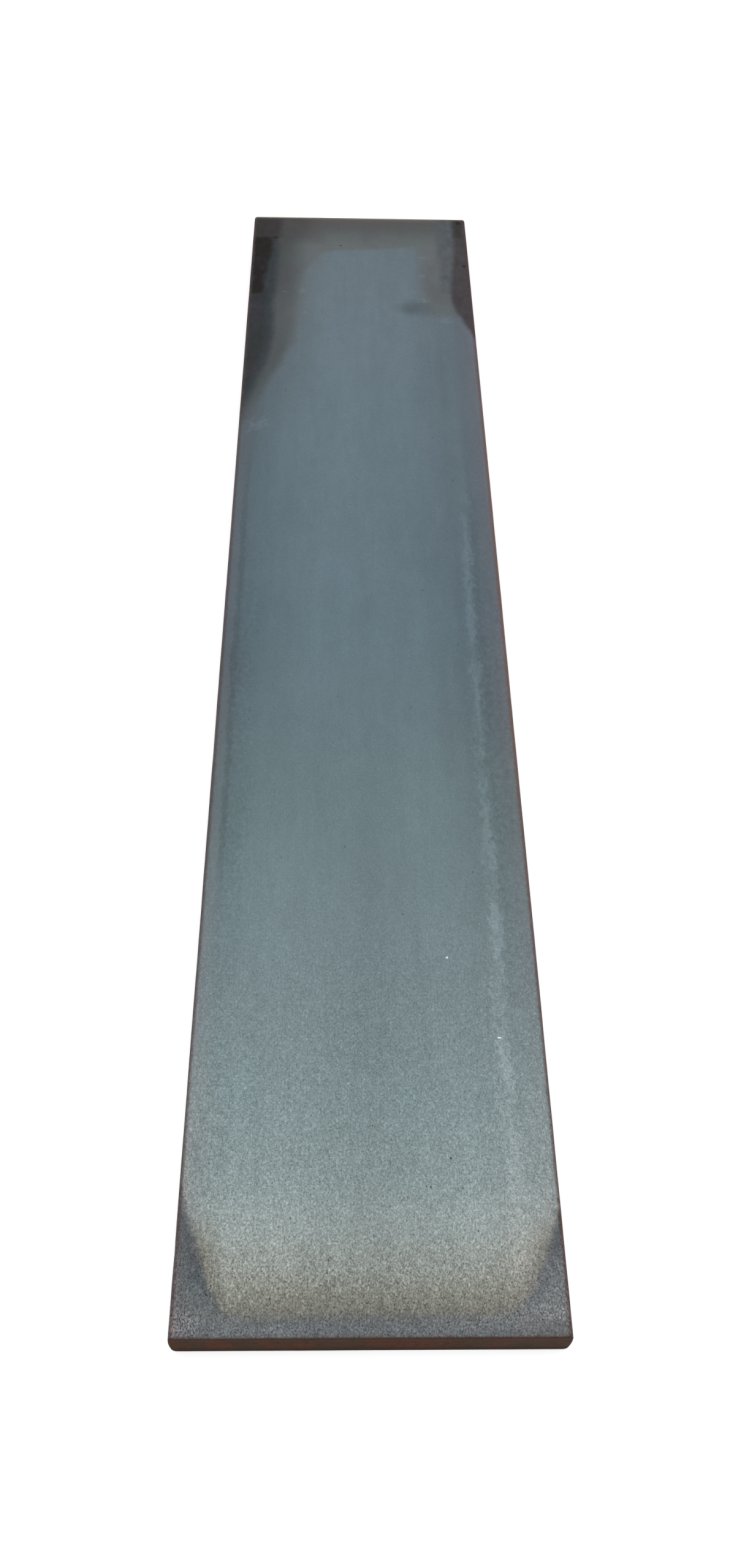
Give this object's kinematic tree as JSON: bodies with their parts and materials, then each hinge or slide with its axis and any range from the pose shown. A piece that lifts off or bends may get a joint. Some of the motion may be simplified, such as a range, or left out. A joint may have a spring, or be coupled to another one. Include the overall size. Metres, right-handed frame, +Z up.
{
  "type": "steel flat bar",
  "caption": "Flat length of hot-rolled steel with round-cornered, slightly bulged long edges and sawn ends; raw stock for brackets, base plates and frames.",
  "frame": {"origin": "centre of the wide face that the bar lies on", "axes": "+X across the width, +Y along the length and the rolling direction, +Z up through the thickness"},
  "size_m": [0.1, 0.5, 0.012],
  "materials": {
    "mill_scale_steel": "as rolled, blue-grey mill scale with brown rust at the edges and ends"
  },
  "bodies": {
    "root": {"flat_bar": "mill_scale_steel"}
  },
  "joints": []
}
